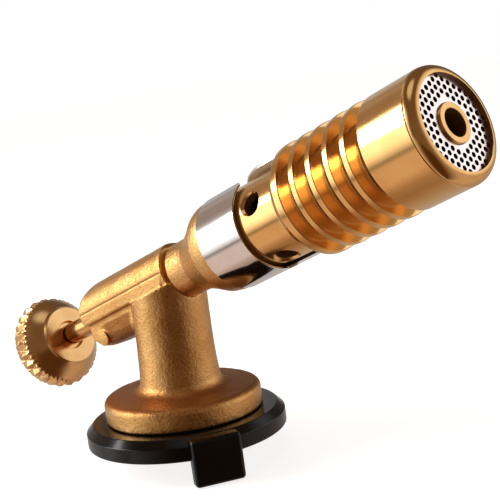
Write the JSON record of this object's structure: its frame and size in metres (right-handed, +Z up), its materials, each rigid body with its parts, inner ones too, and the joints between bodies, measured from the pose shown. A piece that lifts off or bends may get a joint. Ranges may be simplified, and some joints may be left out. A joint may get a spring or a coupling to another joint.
{
  "type": "propane torch head",
  "caption": "Brass gas torch head: knob valve and column on a black turning lock collar, tilted finned burner barrel with perforated flame disc and steel air sleeve.",
  "frame": {"origin": "centre of the collar's bottom face, on the column axis, where the gas canister meets the torch", "axes": "+Z up the column, +X the way the burner points (the burner axis lies in the XZ plane, tilted 21 degrees up), knob on the -X side"},
  "size_m": [0.1513, 0.0514, 0.0942],
  "materials": {
    "cast_brass": "sand cast, lightly tumbled",
    "turned_brass": "turned, bright",
    "stainless": "polished sheet",
    "steel_hardware": "plated",
    "black_plastic": "glossy moulded",
    "nylon_black": "matt moulded",
    "rubber_black": "matt"
  },
  "bodies": {
    "body": {"valve_body": "cast_brass", "passage_plug": "cast_brass", "burner_socket": "cast_brass", "gas_jet": "turned_brass", "jet_washer": "steel_hardware", "burner_barrel": "turned_brass", "flame_tube": "turned_brass", "tube_spider": "turned_brass", "flame_disc": "stainless", "inlet_nozzle": "turned_brass", "inlet_seal": "rubber_black", "inlet_filter": "steel_hardware", "lock_plate": "stainless", "lock_screws": "steel_hardware", "friction_washer": "nylon_black", "stem_bush": "turned_brass", "needle_seat": "steel_hardware"},
    "collar": {"collar": "black_plastic"},
    "sleeve": {"air_sleeve": "stainless"},
    "stem_slide": {"stem_orings": "rubber_black"},
    "stem": {"needle_stem": "turned_brass", "knob": "turned_brass", "knob_screw": "steel_hardware"}
  },
  "joints": [
    {"name": "collar_turn", "type": "hinge", "parent": "body", "child": "collar", "pos_m": [0, 0, 0], "axis": [0, 0, 1], "range_deg": [0, 40]},
    {"name": "sleeve_turn", "type": "hinge", "parent": "body", "child": "sleeve", "pos_m": [0.03173, 0, 0.05268], "axis": [0.9333, 0, 0.3592], "continuous": true},
    {"name": "stem_travel", "type": "slide", "parent": "body", "child": "stem_slide", "axis": [-0.9333, 0, -0.3592], "range_m": [0, 0.00112]},
    {"name": "knob_turn", "type": "hinge", "parent": "stem_slide", "child": "stem", "pos_m": [-0.0453, 0, 0.02175], "axis": [-0.9333, 0, -0.3592], "range_deg": [0, 540]}
  ],
  "couplings": [
    {"joint": "knob_turn", "follows": "stem_travel", "rad_per_m": 8377.6}
  ]
}
